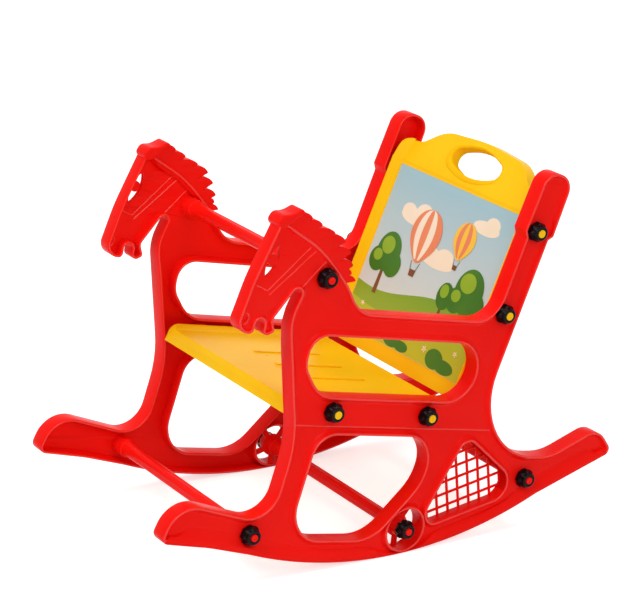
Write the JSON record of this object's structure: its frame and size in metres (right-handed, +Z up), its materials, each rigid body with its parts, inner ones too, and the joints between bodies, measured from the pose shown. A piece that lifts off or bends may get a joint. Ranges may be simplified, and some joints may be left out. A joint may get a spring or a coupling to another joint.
{
  "type": "baby rocker",
  "caption": "Child's plastic rocking chair with horse-head sides on curved runners, a seat, a printed backrest, a handle bar and hand nuts.",
  "frame": {"origin": "on the floor under the middle of the overall box", "axes": "+X to the child's left (the side with the nearer panel in the picture), +Y rearward along the runners, +Z up; the child faces -Y"},
  "size_m": [0.3426, 0.6756, 0.4735],
  "materials": {
    "side_plastic": "gloss",
    "shell_plastic": "gloss",
    "bar_plastic": "gloss",
    "nut_plastic": "gloss",
    "printed_sheet": "printed film"
  },
  "bodies": {
    "frame": {"left_side": "side_plastic", "right_side": "side_plastic", "seat": "shell_plastic", "backrest": "shell_plastic", "picture_sheet": "printed_sheet", "handle_bar": "bar_plastic", "front_lower_bar": "bar_plastic", "middle_lower_bar": "bar_plastic", "rear_lower_bar": "bar_plastic"},
    "left_handle_nut": {"left_handle_nut": "nut_plastic"},
    "right_handle_nut": {"right_handle_nut": "nut_plastic"},
    "left_front_lower_nut": {"left_front_lower_nut": "nut_plastic"},
    "right_front_lower_nut": {"right_front_lower_nut": "nut_plastic"},
    "left_middle_lower_nut": {"left_middle_lower_nut": "nut_plastic"},
    "right_middle_lower_nut": {"right_middle_lower_nut": "nut_plastic"},
    "left_rear_lower_nut": {"left_rear_lower_nut": "nut_plastic"},
    "right_rear_lower_nut": {"right_rear_lower_nut": "nut_plastic"},
    "left_seat_front_nut": {"left_seat_front_nut": "nut_plastic"},
    "right_seat_front_nut": {"right_seat_front_nut": "nut_plastic"},
    "left_seat_rear_nut": {"left_seat_rear_nut": "nut_plastic"},
    "right_seat_rear_nut": {"right_seat_rear_nut": "nut_plastic"},
    "left_back_lower_nut": {"left_back_lower_nut": "nut_plastic"},
    "right_back_lower_nut": {"right_back_lower_nut": "nut_plastic"},
    "left_back_upper_nut": {"left_back_upper_nut": "nut_plastic"},
    "right_back_upper_nut": {"right_back_upper_nut": "nut_plastic"}
  },
  "joints": [
    {"name": "left_handle_nut_turn", "type": "hinge", "parent": "frame", "child": "left_handle_nut", "pos_m": [0.163, -0.13615, 0.37756], "axis": [1, 0, 0], "continuous": true},
    {"name": "right_handle_nut_turn", "type": "hinge", "parent": "frame", "child": "right_handle_nut", "pos_m": [-0.163, -0.13615, 0.37756], "axis": [-1, 0, 0], "continuous": true},
    {"name": "left_front_lower_nut_turn", "type": "hinge", "parent": "frame", "child": "left_front_lower_nut", "pos_m": [0.163, -0.216, 0.06614], "axis": [1, 0, 0], "continuous": true},
    {"name": "right_front_lower_nut_turn", "type": "hinge", "parent": "frame", "child": "right_front_lower_nut", "pos_m": [-0.163, -0.216, 0.06614], "axis": [-1, 0, 0], "continuous": true},
    {"name": "left_middle_lower_nut_turn", "type": "hinge", "parent": "frame", "child": "left_middle_lower_nut", "pos_m": [0.163, 0.01409, 0.03145], "axis": [1, 0, 0], "continuous": true},
    {"name": "right_middle_lower_nut_turn", "type": "hinge", "parent": "frame", "child": "right_middle_lower_nut", "pos_m": [-0.163, 0.01409, 0.03145], "axis": [-1, 0, 0], "continuous": true},
    {"name": "left_rear_lower_nut_turn", "type": "hinge", "parent": "frame", "child": "left_rear_lower_nut", "pos_m": [0.163, 0.2004, 0.06866], "axis": [1, 0, 0], "continuous": true},
    {"name": "right_rear_lower_nut_turn", "type": "hinge", "parent": "frame", "child": "right_rear_lower_nut", "pos_m": [-0.163, 0.2004, 0.06866], "axis": [-1, 0, 0], "continuous": true},
    {"name": "left_seat_front_nut_turn", "type": "hinge", "parent": "frame", "child": "left_seat_front_nut", "pos_m": [0.163, -0.11027, 0.20637], "axis": [1, 0, 0], "continuous": true},
    {"name": "right_seat_front_nut_turn", "type": "hinge", "parent": "frame", "child": "right_seat_front_nut", "pos_m": [-0.163, -0.11027, 0.20637], "axis": [-1, 0, 0], "continuous": true},
    {"name": "left_seat_rear_nut_turn", "type": "hinge", "parent": "frame", "child": "left_seat_rear_nut", "pos_m": [0.163, 0.03228, 0.17976], "axis": [1, 0, 0], "continuous": true},
    {"name": "right_seat_rear_nut_turn", "type": "hinge", "parent": "frame", "child": "right_seat_rear_nut", "pos_m": [-0.163, 0.03228, 0.17976], "axis": [-1, 0, 0], "continuous": true},
    {"name": "left_back_lower_nut_turn", "type": "hinge", "parent": "frame", "child": "left_back_lower_nut", "pos_m": [0.163, 0.13753, 0.29906], "axis": [1, 0, 0], "continuous": true},
    {"name": "right_back_lower_nut_turn", "type": "hinge", "parent": "frame", "child": "right_back_lower_nut", "pos_m": [-0.163, 0.13753, 0.29906], "axis": [-1, 0, 0], "continuous": true},
    {"name": "left_back_upper_nut_turn", "type": "hinge", "parent": "frame", "child": "left_back_upper_nut", "pos_m": [0.163, 0.17446, 0.40147], "axis": [1, 0, 0], "continuous": true},
    {"name": "right_back_upper_nut_turn", "type": "hinge", "parent": "frame", "child": "right_back_upper_nut", "pos_m": [-0.163, 0.17446, 0.40147], "axis": [-1, 0, 0], "continuous": true}
  ]
}
